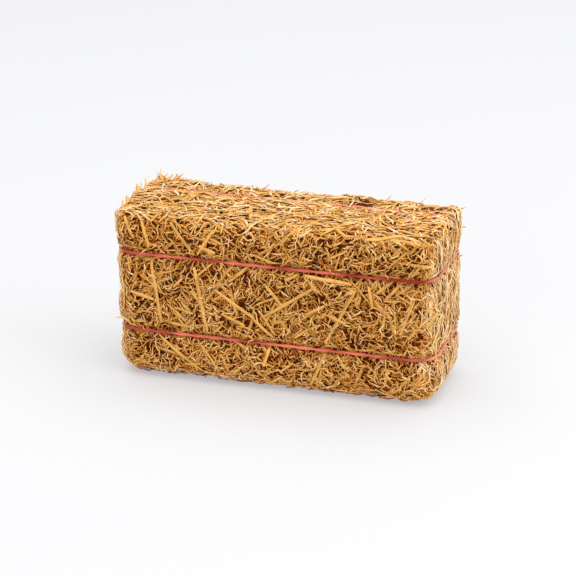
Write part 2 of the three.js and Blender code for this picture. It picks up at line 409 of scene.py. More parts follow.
def give_character(tree, given):
    """Lines that know their tint, depth and girth, and how they cross the twine and stray from the bale."""
    index = put(tree, "GeometryNodeInputIndex").outputs[0]

    def chance(offset, low=0.0, high=1.0):
        wires = {2: low, 3: high, "ID": index, "Seed": sums(tree, "ADD", given["Seed"], offset)}
        return put(tree, "FunctionNodeRandomValue", wires, data_type="FLOAT").outputs[1]

    # Painted shade: the deeper a straw lies, the darker its tint.
    share = chance(2)
    shade = sums(tree, "ADD", sums(tree, "MULTIPLY", share, PAINTED_SHADE_BY_DEPTH),
                 sums(tree, "MULTIPLY", chance(1), TINT_BY_CHANCE))
    lines = remember(tree, given["Lines"], "tint", between(tree, given["TintLow"], given["TintHigh"], shade))
    lines = remember(tree, lines, "depth", between(tree, given["Low"], given["High"], share))
    girth = sums(tree, "MULTIPLY_ADD", chance(3, -1.0), given["Spread"], 1.0)
    lines = remember(tree, lines, "girth", girth)
    lines = remember(tree, lines, "over", chance(4))
    lines = remember(tree, lines, "slack", chance(5))
    roll = put(tree, "FunctionNodeRandomValue", {0: (-1, -1, -1), 1: (1, 1, 1), "ID": index,
               "Seed": sums(tree, "ADD", given["Seed"], 11)}, data_type="FLOAT_VECTOR").outputs[0]
    lines = remember(tree, lines, "roll", roll, data_type="FLOAT_VECTOR")
    along = put(tree, "GeometryNodeSplineParameter").outputs["Factor"]
    return remember(tree, lines, "along", along, domain="POINT")


print("a straw keeps its", ", ".join(KEPT_NUMBERS))

# %% [markdown]
# ## How one straw lies on the bale
# A pressed straw hugs the bale: it bends a little, dives under the twine that ties it, wraps over an edge,
# and never goes below the floor. Combed hair could lie like that, but it is no mesh. So each point of a
# line is bent by noise, moved to the nearest place on the form, and raised or sunk to the depth of its
# straw. A few straws stray: they leave the form towards their tips.

# %% Steps that bend a line and press it onto the form
# Each straw bends in its own part of the noise.
NOISE_APART = 31.0
DIVE_NEAR = 0.9 * MM
DIVE_FAR = 2.0 * MM
DIVE_DEPTH = -1.45 * MM
PROUD_LIMIT = 0.55 * MM
# The lengthwise twine is covered by nine times as many straws as the round ones.
LENGTHWISE_COVER = 9.0
# A high power of a chance is nearly always close to nothing, so few straws stray.
STRAY_RARITY = 8.0


def bend(tree, given, position):
    """Where noise moves a point of a line to, and the noise itself."""
    apart = vectors(tree, "SCALE", recall(tree, "roll", "FLOAT_VECTOR"), scale=NOISE_APART)
    frequency = sums(tree, "DIVIDE", 1.0, given["CurlSize"])
    where = vectors(tree, "ADD", vectors(tree, "SCALE", position, scale=frequency), apart)
    noise = put(tree, "ShaderNodeTexNoise", {"Vector": where, "Scale": 1.0, "Detail": 1.0}).outputs["Color"]
    wobble = vectors(tree, "SUBTRACT", noise, (0.5, 0.5, 0.5))
    return vectors(tree, "ADD", position, vectors(tree, "SCALE", wobble, scale=given["Curl"])), wobble


def nearest_on_form(tree, given, point):
    """The place on the form that is nearest to a point, and the way that looks out from it."""
    mesh = put(tree, "GeometryNodeObjectInfo", {"Object": given["Form"]}).outputs["Geometry"]
    nearest = put(tree, "GeometryNodeProximity", {0: mesh, 2: point}, target_element="FACES")
    normal = put(tree, "GeometryNodeInputNormal").outputs[0]
    out = put(tree, "GeometryNodeSampleNearestSurface", {0: mesh, 1: normal, "Sample Position": point},
              data_type="FLOAT_VECTOR").outputs[0]
    return nearest.outputs["Position"], out


def dive(tree, height, on_form, guide, cover):
    """The height of a straw, pulled down where it passes a twine, unless it is one of those that cover it."""
    twine = put(tree, "GeometryNodeObjectInfo", {"Object": guide}).outputs["Geometry"]
    away = put(tree, "GeometryNodeProximity", {0: twine, 2: on_form}, target_element="EDGES")
    under = put(tree, "ShaderNodeMapRange", {"Value": away.outputs["Distance"], "From Min": DIVE_NEAR,
                "From Max": DIVE_FAR, "To Min": 1.0, "To Max": 0.0}, interpolation_type="SMOOTHSTEP")
    obeys = sums(tree, "GREATER_THAN", recall(tree, "over"), cover)
    low = sums(tree, "MINIMUM", height, DIVE_DEPTH)
    pull = sums(tree, "MULTIPLY", under.outputs["Result"], obeys)
    return put(tree, "ShaderNodeMix", {"Factor": pull, "A": height, "B": low}).outputs[0]


def settle(tree, given, bent, wobble, on_form, out):
    """Where a point of a straw comes to lie."""
    rise = vectors(tree, "DOT_PRODUCT", wobble, out)
    height = sums(tree, "MULTIPLY_ADD", rise, given["Curl"], recall(tree, "depth"))
    height = sums(tree, "MINIMUM", height, PROUD_LIMIT)
    height = dive(tree, height, on_form, given["Rounds"], given["Over"])
    covered = sums(tree, "MULTIPLY", given["Over"], LENGTHWISE_COVER)
    height = dive(tree, height, on_form, given["Lengthwise"], covered)
    raised = vectors(tree, "SCALE", out, scale=height)
    pressed = vectors(tree, "ADD", on_form, raised)
    free = vectors(tree, "ADD", bent, raised)
    astray = sums(tree, "MULTIPLY", sums(tree, "POWER", recall(tree, "slack"), STRAY_RARITY), given["Stray"])
    along = put(tree, "GeometryNodeSplineParameter").outputs["Factor"]
    astray = sums(tree, "MAXIMUM", astray, given["Loose"])
    off = sums(tree, "MULTIPLY", astray, sums(tree, "POWER", along, 2.0))
    cling = sums(tree, "SUBTRACT", 1.0, off)
    settled = put(tree, "ShaderNodeMix", {0: cling, 4: free, 5: pressed}, data_type="VECTOR").outputs[1]
    parts = put(tree, "ShaderNodeSeparateXYZ", {"Vector": settled})
    above = sums(tree, "MAXIMUM", parts.outputs["Z"], given["Floor"])
    placed = put(tree, "ShaderNodeCombineXYZ", {"X": parts.outputs["X"], "Y": parts.outputs["Y"], "Z": above})
    return placed.outputs[0]


# %% [markdown]
# ## The body of a straw, and the whole press
# Pressed straw is a crushed tube, flat and thinner at its ends. A strip would vanish when seen from its edge,
# so the line gets a flattened section with a few sides, which lies on the form with a small roll of its own.
# The tint goes into the UV map, and is darkened down at the floor as painted shade under the bale. The press
# is a group of its own, because scattered and placed stalks both use it.

# %% Tree that presses lines of straw onto the form
ROLL_SHARE = 0.5
# Straw between these heights above the floor gets a darker tint: painted shade under the bale.
PAINTED_SHADE_LOW = 0.5 * MM
PAINTED_SHADE_HIGH = 3.2 * MM
PAINTED_SHADE_STRENGTH = 0.95
# Tints above this are golden stalks, which get no painted shade at the floor.
GOLDEN_TINT = 0.77


def thicken(tree, given, lines, out):
    """The lines as solid straws with a flattened section."""
    rolled = vectors(tree, "SCALE", recall(tree, "roll", "FLOAT_VECTOR"), scale=ROLL_SHARE)
    facing = vectors(tree, "ADD", out, rolled)
    lines = put(tree, "GeometryNodeSetCurveNormal", {"Curve": lines, "Normal": facing}, mode="FREE")
    along = put(tree, "GeometryNodeSplineParameter").outputs["Factor"]
    from_middle = sums(tree, "ABSOLUTE", sums(tree, "MULTIPLY_ADD", along, 2.0, -1.0))
    thinner = sums(tree, "MULTIPLY", sums(tree, "POWER", from_middle, 3.0), given["Taper"])
    girth = sums(tree, "MULTIPLY", sums(tree, "MULTIPLY", given["Width"], recall(tree, "girth")),
                 sums(tree, "SUBTRACT", 1.0, thinner))
    circle = put(tree, "GeometryNodeCurvePrimitiveCircle", {"Resolution": given["Sides"], "Radius": 0.5})
    flat = put(tree, "ShaderNodeCombineXYZ", {"X": given["Flatness"], "Y": 1.0, "Z": 1.0}).outputs[0]
    section = put(tree, "GeometryNodeTransform", {"Geometry": circle.outputs["Curve"], "Scale": flat})
    wires = {"Curve": lines.outputs[0], "Profile Curve": section.outputs[0], "Scale": girth, "Fill Caps": True}
    return put(tree, "GeometryNodeCurveToMesh", wires).outputs["Mesh"]


def write_map(tree, solid):
    """Writes the tint, darkened near the floor as painted shade, and the way along each straw into its UV map,
    and forgets the numbers it kept.
    """
    # Painted shade: the tint is darkened near the floor, except on golden stalks.
    pale = sums(tree, "LESS_THAN", recall(tree, "tint"), GOLDEN_TINT)
    kept = sums(tree, "SUBTRACT", 1.0, sums(tree, "MULTIPLY", recall(tree, "foot"), pale))
    tint = sums(tree, "MULTIPLY", recall(tree, "tint"), kept)
    chart = put(tree, "ShaderNodeCombineXYZ", {"X": tint, "Y": recall(tree, "along")}).outputs[0]
    solid = remember(tree, solid, STRAW_MAP, chart, domain="CORNER", data_type="FLOAT2")
    for title in KEPT_NUMBERS:
        solid = put(tree, "GeometryNodeRemoveAttribute", {"Geometry": solid, "Name": title}).outputs[0]
    return solid


def presses_straw():
    tree, given = new_tree("press_straw", Lines="geometry", Form="object", **PRESS_INPUTS)
    lines = give_character(tree, given)
    position = put(tree, "GeometryNodeInputPosition").outputs[0]
    bent, wobble = bend(tree, given, position)
    on_form, out = nearest_on_form(tree, given, bent)
    place = settle(tree, given, bent, wobble, on_form, out)
    lines = put(tree, "GeometryNodeSetPosition", {"Geometry": lines, "Position": place}).outputs[0]
    # Painted shade: the nearer a point lies to the floor, the darker its straw's tint.
    level = put(tree, "ShaderNodeSeparateXYZ", {"Vector": position}).outputs["Z"]
    foot = rescale(tree, level, From_Min=PAINTED_SHADE_LOW, From_Max=PAINTED_SHADE_HIGH, To_Min=PAINTED_SHADE_STRENGTH, To_Max=0.0)
    lines = remember(tree, lines, "foot", foot, domain="POINT")
    put(tree, "NodeGroupOutput", {"Geometry": write_map(tree, thicken(tree, given, lines, out))})
    return tree


def press(tree, given, lines):
    """The press inside a bigger tree, wired to that tree's own inputs."""
    group = put(tree, "GeometryNodeGroup", node_tree=press_straw)
    tree.links.new(lines, group.inputs["Lines"])
    for title in ("Form", *PRESS_INPUTS):
        tree.links.new(given[title], group.inputs[title])
    return group.outputs["Geometry"]


press_straw = presses_straw()
print("press_straw tree has", len(press_straw.nodes), "nodes")

# %% [markdown]
# ## Scattering loose straw
# Real straw lies as it fell into the press: flat and lengthwise on the top, upright on the ends, and every
# way on the front. Particles could scatter it, but they could not be pressed onto the form. So points are
# scattered, in loose clumps, on the faces that look one way. Each gets a line in a direction between the
# main lay and pure chance, and the press does the rest.

# %% Tree that scatters straw over one side of the bale
SIDE_LIMIT = 0.55
CLUMPS_PER_METRE = 180.0
THIN_SPOT = 0.42
THICK_SPOT = 1.58


def scatters_straw():
    tree, given = new_tree(
        "scatter_straw", Surface="geometry", Form="object", Facing="vector", Lay="vector", Density="number",
        Shortest="number", Longest="number", Points="count", **PRESS_INPUTS, Finish="material")
    normal = put(tree, "GeometryNodeInputNormal").outputs[0]
    towards = vectors(tree, "DOT_PRODUCT", normal, given["Facing"])
    chosen = put(tree, "FunctionNodeCompare", {0: towards, 1: SIDE_LIMIT}, operation="GREATER_THAN").outputs[0]
    clumps = put(tree, "ShaderNodeTexNoise", {"Scale": CLUMPS_PER_METRE, "Detail": 1.0}).outputs["Fac"]
    crowd = rescale(tree, clumps, From_Min=0.35, From_Max=0.65, To_Min=THIN_SPOT, To_Max=THICK_SPOT)
    amount = sums(tree, "MULTIPLY", crowd, given["Density"])
    points = put(tree, "GeometryNodeDistributePointsOnFaces",
                 {"Mesh": given["Surface"], "Selection": chosen, "Density": amount, "Seed": given["Seed"]})
    any_way = put(tree, "FunctionNodeRandomValue", {0: (-1, -1, -1), 1: (1, 1, 1),
                  "Seed": sums(tree, "ADD", given["Seed"], 21)}, data_type="FLOAT_VECTOR").outputs[0]
    lay = vectors(tree, "ADD", given["Lay"], vectors(tree, "NORMALIZE", any_way))
    across = vectors(tree, "CROSS_PRODUCT", points.outputs["Normal"], lay)
    heading = vectors(tree, "CROSS_PRODUCT", across, points.outputs["Normal"])
    turned = put(tree, "FunctionNodeAlignRotationToVector", {"Vector": heading}, axis="X").outputs[0]
    length = put(tree, "FunctionNodeRandomValue", {2: given["Shortest"], 3: given["Longest"],
                 "Seed": sums(tree, "ADD", given["Seed"], 22)}, data_type="FLOAT").outputs[1]
    stretch = put(tree, "ShaderNodeCombineXYZ", {"X": length, "Y": 1.0, "Z": 1.0}).outputs[0]
    line = put(tree, "GeometryNodeCurvePrimitiveLine", {"Start": (-0.5, 0, 0), "End": (0.5, 0, 0)}).outputs[0]
    line = put(tree, "GeometryNodeResampleCurve", {"Curve": line, "Count": given["Points"]}).outputs[0]
    laid = put(tree, "GeometryNodeInstanceOnPoints", {"Points": points.outputs["Points"], "Instance": line,
               "Rotation": turned, "Scale": stretch})
    lines = put(tree, "GeometryNodeRealizeInstances", {"Geometry": laid.outputs["Instances"]}).outputs[0]
    finish_tree(tree, press(tree, given, lines), given["Finish"])
    return tree


scatter_straw = scatters_straw()
print("scatter_straw tree has", len(scatter_straw.nodes), "nodes")

# %% [markdown]
# ## Three layers of straw on six sides
# In the gaps of a bale lies crushed straw, tinted dark brown to near black as painted shade, over it shredded
# fibres, and on these some whole stalks. One thick layer would have no depth, so the three are laid one after
# the other, from the dark bed outwards. The sides differ: fine chaff on the front and the back, long flat
# straw on the top, and upright fibres on the ends.

# %% Recipes for the layers of straw
FLOOR_CLEARANCE = 0.5 * MM
ANY_WAY = Vector((0, 0, 0))
# For each side: where it looks, the lay of its straw, its share of the usual amount, and how much paler its
# tint is. That last is painted light and shade: darker on the front and the back, paler on the top, and on the
# ends partly paler cut ends and partly painted light.
SIDES = {"front": (-Y, ANY_WAY, 1.0, -0.075), "back": (Y, ANY_WAY, 1.0, -0.075),
         "top": (Z, X * 0.9, 1.0, 0.03), "underside": (-Z, X, 0.4, 0.0),
         "right_end": (X, Z * 1.1, 1.0, 0.10), "left_end": (-X, Z * 1.1, 1.0, 0.03)}
LAYERS = {
    # The bed's near-black to dark brown tints are painted shade in the gaps.
    "bed": dict(
        Density=0.19e6, Shortest=3 * MM, Longest=10 * MM, Points=4, Low=-2.1 * MM, High=-0.8 * MM,
        Curl=3 * MM, CurlSize=5 * MM, Width=0.75 * MM, Spread=0.4, Taper=0.5, Flatness=0.5, Sides=3,
        TintLow=0.05, TintHigh=0.37, Loose=0.0, Stray=0.0, Over=0.0),
    "fibres": dict(
        Density=0.46e6, Shortest=2 * MM, Longest=6.5 * MM, Points=5, Low=-1.6 * MM, High=0.6 * MM,
        Curl=4.5 * MM, CurlSize=3.6 * MM, Width=0.7 * MM, Spread=0.6, Taper=0.6, Flatness=0.5, Sides=3,
        TintLow=0.32, TintHigh=0.75, Loose=0.0, Stray=0.7, Over=0.03),
    "stalks": dict(
        Density=0.036e6, Shortest=6 * MM, Longest=16 * MM, Points=7, Low=-1.3 * MM, High=0.4 * MM,
        Curl=1.8 * MM, CurlSize=9 * MM, Width=1.15 * MM, Spread=0.35, Taper=0.3, Flatness=0.42, Sides=4,
        TintLow=0.36, TintHigh=0.70, Loose=0.0, Stray=0.8, Over=0.02),
}
LONG_FLAT = dict(Density=0.37e6, Shortest=2.5 * MM, Longest=11 * MM, Low=-1.3 * MM, High=0.25 * MM,
                 Curl=3.2 * MM, CurlSize=5 * MM, Width=0.82 * MM, Spread=0.7, Flatness=0.42,
                 TintLow=0.23, TintHigh=0.79, Stray=0.15)
FINE_CHAFF = dict(Density=0.75e6, Shortest=1.5 * MM, Longest=5 * MM, Curl=4 * MM, CurlSize=2.8 * MM,
                  Width=0.6 * MM, TintLow=0.29)
UPRIGHT = dict(Shortest=3 * MM, Longest=8 * MM, Curl=3.2 * MM, CurlSize=4.5 * MM, Width=0.62 * MM, Stray=0.4)
FEW_STALKS = dict(Density=0.03e6, Shortest=5 * MM, Longest=13 * MM, High=0.2 * MM,
                  TintLow=0.875, TintHigh=1.075)
GOLDEN_STREAKS = dict(Density=0.045e6, TintLow=0.80, TintHigh=1.0)
OWN_WAYS = {("front", "fibres"): FINE_CHAFF, ("back", "fibres"): FINE_CHAFF,
            ("top", "fibres"): LONG_FLAT, ("underside", "fibres"): LONG_FLAT,
            ("right_end", "fibres"): UPRIGHT, ("left_end", "fibres"): UPRIGHT,
            ("front", "stalks"): FEW_STALKS, ("back", "stalks"): FEW_STALKS,
            ("top", "stalks"): GOLDEN_STREAKS}
print(len(LAYERS), "layers on", len(SIDES), "sides, with", len(OWN_WAYS), "recipes of a side's own")

# %% Lay the straw on the six sides
FIRST_SEED = 3
SEED_STEP = 7
COMMON = dict(Form=form, Rounds=round_guide, Lengthwise=lengthwise_guide, Floor=FLOOR_CLEARANCE,
              Finish=dry_straw)

straw_pieces = []
# Each side's tints are shifted by its painted light and shade.
for side, (facing, lay, share, paler_with_painted_light) in SIDES.items():
    for layer, usual in LAYERS.items():
        recipe = {**usual, **OWN_WAYS.get((side, layer), {})}
        values = dict(recipe, Density=recipe["Density"] * share, TintLow=recipe["TintLow"] + paler_with_painted_light,
                      TintHigh=recipe["TintHigh"] + min(paler_with_painted_light, 0), Facing=facing, Lay=lay,
                      Seed=len(straw_pieces) * SEED_STEP + FIRST_SEED)
        piece = run_tree(scatter_straw, f"{side}_{layer}", form.data, **values, **COMMON)
        straw_pieces.append(piece)
        print(piece.name, triangles(piece), "triangles")

# %% [markdown]
# ## Stalks that everyone would notice
# A few broad golden stalks on the front, and the loose tips that break the outline, are as particular to
# this bale as a face. Chance would never put them in the right places, so they are placed one by one from a
# list, as bare edges, and pressed on by the same group as the rest.

# %% List the broad front stalks and the loose tips
# For each broad stalk: x and height of its middle, its slope in degrees and its length, in mm.
BROAD_STALKS = [
    (-46.2, 37, -82, 25.9), (-56.6, 61.4, -67, 9.1), (-50, 59.5, -74, 10.3), (-35.2, 58.6, -52, 15.5),
    (-25.8, 58.3, 59, 12.1), (-28, 35.4, -79, 25.6), (-14.7, 34.7, -33, 18.4), (-3.1, 26.1, -42, 10.3),
    (1.1, 39.6, -49, 10.1), (7.2, 37.7, 35, 25.3), (27.3, 34.2, 62, 25.9), (18, 10.5, 68, 16),
    (-51.9, 34.2, -15, 9.6), (-36.9, 11.6, -36, 22.2), (22.2, 48.3, -5, 18.4), (-15.2, 28.2, -24, 9.5),
    (-1.9, 14.8, 72, 7.6), (53, 36.7, 70, 15.8), (38.9, 43, -81, 8.4),
]
# For each loose tip: its root and its end, in mm from the middle of the bale's foot.
LOOSE_TIPS = [
    ((-62, 17, 66.5), (-54, 19, 67.9)), ((-60, 19, 66.5), (-52, 22, 68.1)),
    ((-58, 16, 66.5), (-51, 20, 67.7)), ((-56, 18, 66.5), (-48, 20, 67.8)),
    ((-54, 20, 66.5), (-47, 22, 67.8)), ((-62, 21, 66.5), (-55, 22, 68.3)),
    ((-59, 21, 67), (-53, 18, 68.4)), ((-57, 23, 66), (-51, 20, 68.1)), ((-55, 17, 67), (-60, 20, 68.5)),
    ((-53, 21, 67), (-58, 18, 68.3)), ((-61, 16, 66.5), (-57, 21, 68)), ((-62, 16, 66), (-57, 22, 68.6)),
    ((-59, 14, 66.5), (-60, 22, 70.6)), ((-59, 20, 66), (-51, 23, 68.6)),
    ((-55, 16, 66.5), (-53, 23, 68.3)), ((-62, 2, 66), (-64.5, 7, 68)), ((-56, 21, 66), (-49, 18, 67.9)),
    ((-61, 21, 66), (-56, 17, 68.3)), ((-54, 22, 66), (-59, 20, 68.6)), ((-60, 18, 66), (-54, 20, 69)),
    ((-57, 19, 66), (-62, 22, 68.3)), ((-62, 19, 65), (-61, 22, 67.9)), ((-49, 21, 66), (-54, 23, 68.3)),
    ((-58, 22, 65), (-50, 22, 67.6)), ((30, 20, 66), (34, 24, 68)), ((56, 21, 65), (64, 22, 66)),
    ((61, 8, 56), (64.5, 12, 57.5)), ((62, 12, 48), (65, 16, 49)), ((62, 10, 36), (64.5, 15, 34.5)),
    ((-57, -22, 22), (-64, -22.5, 23.2)), ((-62, -16, 58), (-64.5, -14, 60)), ((60, 14, 61), (65, 17, 60)),
    ((-20, 21, 66), (-15, 24, 68)), ((44, 20, 66), (48, 24, 68)), ((-62, -17, 57), (-62.6, -16.5, 45)),
    ((-60.5, -20, 55), (-61, -19.5, 47)), ((-62, -17, 26), (-61.6, -17, 15)),
    ((63, -14, 44), (63.4, -10, 55)), ((62, -18, 25), (63, -15, 15)), ((63.5, 6, 46), (63.8, 9, 56)),
    ((63.5, 2, 25), (63.6, 4, 14)), ((-63.4, -18, 65.4), (-64.6, -9, 66.9)),
    ((-62.8, -12, 66.4), (-64.8, -4, 67.1)), ((-63.2, -6, 66.6), (-64.6, 3, 67.1)),
    ((-62.8, -1, 66.7), (-65, 7, 67.2)), ((-63, 4, 66.7), (-64.8, 12, 67.3)),
    ((-62.4, 8, 66.8), (-64.8, 17, 67.4)), ((-63.2, 12, 66.4), (-64.4, 20, 67.3)),
]
print(len(BROAD_STALKS), "broad stalks and", len(LOOSE_TIPS), "loose tips")

# %% Press the broad stalks and the loose tips onto the bale
def places_straw():
    tree, given = new_tree("place_straw", Edges="geometry", Form="object", Points="count", **PRESS_INPUTS,
                           Finish="material")
    curves = put(tree, "GeometryNodeMeshToCurve", {"Mesh": given["Edges"]}).outputs["Curve"]
    lines = put(tree, "GeometryNodeResampleCurve", {"Curve": curves, "Count": given["Points"]}).outputs[0]
    finish_tree(tree, press(tree, given, lines), given["Finish"])
    return tree


def edge_mesh(name, lines):
    points = [Vector((centre.x, centre.y, 0)) + Vector(p) * MM for line in lines for p in line]
    return mesh_of(name, points, [(i, i + 1) for i in range(0, len(points), 2)])


def front_line(x, z, slope, length):
    reach = Vector((math.cos(math.radians(slope)), 0, math.sin(math.radians(slope)))) * length / 2
    middle = Vector((x, -half.y / MM, z))
    return middle - reach, middle + reach


place_straw = places_straw()
broad = edge_mesh("broad_stalks", [front_line(*stalk) for stalk in BROAD_STALKS])
straw_pieces.append(run_tree(
    place_straw, "broad_stalks", broad, Points=9, Low=0.2 * MM, High=0.5 * MM, Curl=0.8 * MM, CurlSize=9 * MM,
    Width=1.55 * MM, Spread=0.12, Taper=0.3, Flatness=0.35, Sides=6, TintLow=0.84, TintHigh=1.0, Loose=0.0,
    Stray=0.0, Over=0.0, Seed=501, **COMMON))
tips = edge_mesh("loose_tips", LOOSE_TIPS)
straw_pieces.append(run_tree(
    place_straw, "loose_tips", tips, Points=7, Low=-0.4 * MM, High=0.2 * MM, Curl=1.2 * MM, CurlSize=7 * MM,
    Width=1.3 * MM, Spread=0.35, Taper=0.7, Flatness=0.45, Sides=4, TintLow=0.38, TintHigh=0.66, Loose=1.0,
    Stray=0.0, Over=1.0, Seed=601, **COMMON))
for piece in straw_pieces[-2:]:
    print(piece.name, triangles(piece), "triangles")
print("straw in all:", sum(triangles(piece) for piece in straw_pieces), "triangles")

# %% [markdown]
# ## Straw in the depth
# Between the stalks the eye falls on more straw, deep in shade. Stalks could be laid all the way in, but
# nobody would see them. One closed mass, a millimetre and a half under the surface and a little less at the
# top, stands for all of it, so that no light leaks through the bale. Its near-black brown is painted shade.

# %% Make the imported straw in the depth
DEPTH_UNDER = 1.5 * MM
TOP_RISE = 0.6 * MM
# Near-black to dark brown: painted shade in the depth of the bale.
PAINTED_SHADE_BROWNS = [(0.35, (0.022, 0.0035, 0.0001)), (0.70, (0.16, 0.032, 0.0008))]


def depth_finish():
    material, tree, shader = new_finish("straw_in_painted_shade")
    place = put(tree, "ShaderNodeTexCoord").outputs["Object"]
    noise = put(tree, "ShaderNodeTexNoise", {"Vector": place, "Scale": 700, "Detail": 4}).outputs["Fac"]
    tree.links.new(colour_ramp(tree, noise, PAINTED_SHADE_BROWNS), shader.inputs["Base Color"])
    bump = put(tree, "ShaderNodeBump", {"Height": noise, "Strength": 0.8, "Distance": 1.0 * MM})
    tree.links.new(bump.outputs["Normal"], shader.inputs["Normal"])
    shader.inputs["Roughness"].default_value = 0.9
    shader.inputs["Specular IOR Level"].default_value = 0.1
    return material


def packed_mass():
    mesh = form.data.copy()
    mesh.name = "packed_straw"
    moved = [v.co - v.normal * (DEPTH_UNDER - TOP_RISE * max(v.normal.z, 0)) for v in mesh.vertices]
    for vertex, place in zip(mesh.vertices, moved):
        vertex.co = place
    mesh.materials.append(depth_finish())
    return add_object("packed_straw", mesh)


packed_straw = packed_mass()
print(packed_straw.name, triangles(packed_straw), "triangles")

# %% [markdown]
# ## The finish of twine
# The twine is dyed red, deeper in some places than in others. It is paled to pink where it turns round the
# ends, as painted light, and is paler where it runs along the top. Such places could be painted by hand, but
# they are known, so a fade over the length and one over the height find them, and noise gives the rest.

# %% Twine material
TWINE_REDS = [(0.38, (0.285, 0.014, 0.010)), (0.66, (0.79, 0.195, 0.115))]
# Pale red mixed in at the ends is painted light; along the top the twine is only made paler.
PALE_RED = (0.86, 0.38, 0.26, 1)
ENDS_PAINTED_LIGHT = 0.6
TOP_PALING = 0.5


def twine_finish():
    material, tree, shader = new_finish("red_twine")
    place = put(tree, "ShaderNodeTexCoord").outputs["Object"]
    patches = put(tree, "ShaderNodeTexNoise", {"Vector": place, "Scale": 45, "Detail": 2}).outputs["Fac"]
    parts = put(tree, "ShaderNodeSeparateXYZ", {"Vector": place})
    from_middle = sums(tree, "ABSOLUTE", parts.outputs["X"])
    painted_light_at_ends = rescale(tree, from_middle, From_Min=half.x - 5 * MM, From_Max=half.x - 1 * MM, To_Max=ENDS_PAINTED_LIGHT)
    paler_on_top = rescale(tree, parts.outputs["Z"], From_Min=half.z * 1.8, From_Max=half.z * 1.9, To_Max=TOP_PALING)
    colour = put(tree, "ShaderNodeMix", {0: sums(tree, "MAXIMUM", painted_light_at_ends, paler_on_top),
                 6: colour_ramp(tree, patches, TWINE_REDS), 7: PALE_RED}, data_type="RGBA").outputs[2]
    tree.links.new(colour, shader.inputs["Base Color"])
    fuzz = put(tree, "ShaderNodeTexNoise", {"Vector": place, "Scale": 2500, "Detail": 2}).outputs["Fac"]
    bump = put(tree, "ShaderNodeBump", {"Height": fuzz, "Strength": 0.3, "Distance": 0.1 * MM})
    tree.links.new(bump.outputs["Normal"], shader.inputs["Normal"])
    tree.links.new(rescale(tree, patches, To_Min=0.6, To_Max=0.4), shader.inputs["Roughness"])
    shader.inputs["Specular IOR Level"].default_value = 0.2
    return material


red_twine = twine_finish()
print("red_twine finish has", len(red_twine.node_tree.nodes), "nodes")

# %% [markdown]
# ## Twisted twine
# The twine is two thin plies twisted together. A striped tube could stand for it, but two helical strands
# round one route look right from every side. Each strand starts as the route, is pushed out along the
# turning normal of the curve, and gets a round section.

# %% Tree that twists two plies round a route
PLY_RADIUS = 0.40 * MM
PLY_OFFSET = 0.25 * MM
TWIST_PITCH = 14 * MM
PLY_STEP = 0.6 * MM


def twists_twine():
    tree, given = new_tree("twist_twine", Route="geometry", Step="number", Pitch="number", Offset="number",
                           Radius="number", Finish="material")
    route = put(tree, "GeometryNodeMeshToCurve", {"Mesh": given["Route"]}).outputs["Curve"]
    path = put(tree, "GeometryNodeResampleCurve", {"Curve": route, "Length": given["Step"]},
               mode="LENGTH").outputs[0]
    whole = put(tree, "GeometryNodeSplineLength").outputs["Length"]
    turns = sums(tree, "ROUND", sums(tree, "DIVIDE", whole, given["Pitch"]))
    factor = put(tree, "GeometryNodeSplineParameter").outputs["Factor"]
    angle = sums(tree, "MULTIPLY", sums(tree, "MULTIPLY", turns, factor), 2 * math.pi)
    side = put(tree, "GeometryNodeInputNormal").outputs[0]
    ahead = put(tree, "GeometryNodeInputTangent").outputs[0]
    other = vectors(tree, "CROSS_PRODUCT", ahead, side)
    section = put(tree, "GeometryNodeCurvePrimitiveCircle", {"Resolution": 6, "Radius": given["Radius"]})
    join = put(tree, "GeometryNodeJoinGeometry")
    for ply in range(2):
        turned = sums(tree, "ADD", angle, ply * math.pi)
        outward = vectors(tree, "ADD", vectors(tree, "SCALE", side, scale=sums(tree, "COSINE", turned)),
                          vectors(tree, "SCALE", other, scale=sums(tree, "SINE", turned)))
        strand = put(tree, "GeometryNodeSetPosition", {"Geometry": path, "Offset": vectors(
            tree, "SCALE", outward, scale=given["Offset"])}).outputs[0]
        tube = put(tree, "GeometryNodeCurveToMesh", {"Curve": strand, "Profile Curve": section.outputs[0],
                   "Fill Caps": True}).outputs["Mesh"]
        tree.links.new(tube, join.inputs[0])
    finish_tree(tree, join.outputs[0], given["Finish"])
    return tree


twist_twine = twists_twine()
print("twist_twine tree has", len(twist_twine.nodes), "nodes")

# %% [markdown]
# ## Knots and tails
# Each loop is closed by a small knot with two cut tails: on the back for the round loops, underneath for
# the lengthwise one. One open strand does it: it comes up from the first tail, winds twice round the loop,
# and goes down the second tail. The CAD knot says where.

# %% Route each knot, and twist all the twine
KNOT_WINDS = 2
KNOT_STEPS = 24
TAIL_STEPS = 12
KNOT_WIDTH = 2.2 * MM
KNOT_GIRTH = 0.95 * MM
POCKET_LOW = 2 * KNOT_RADIUS - 0.5 * MM
POCKET_HIGH = 3 * KNOT_RADIUS


def knot_place(node):
    """The middle of the CAD knot: the top bulge of a round loop, or the bulge in the pocket underneath."""
    spots = [v.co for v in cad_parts[node].data.vertices]
    if node == "lengthwise_twine":
        spots = [co for co in spots if POCKET_LOW < co.z < POCKET_HIGH and abs(co.x) < half.x / 2]
    peak = max(spots, key=lambda co: co.z)
    return Vector((peak.x, peak.y, peak.z - KNOT_RADIUS))


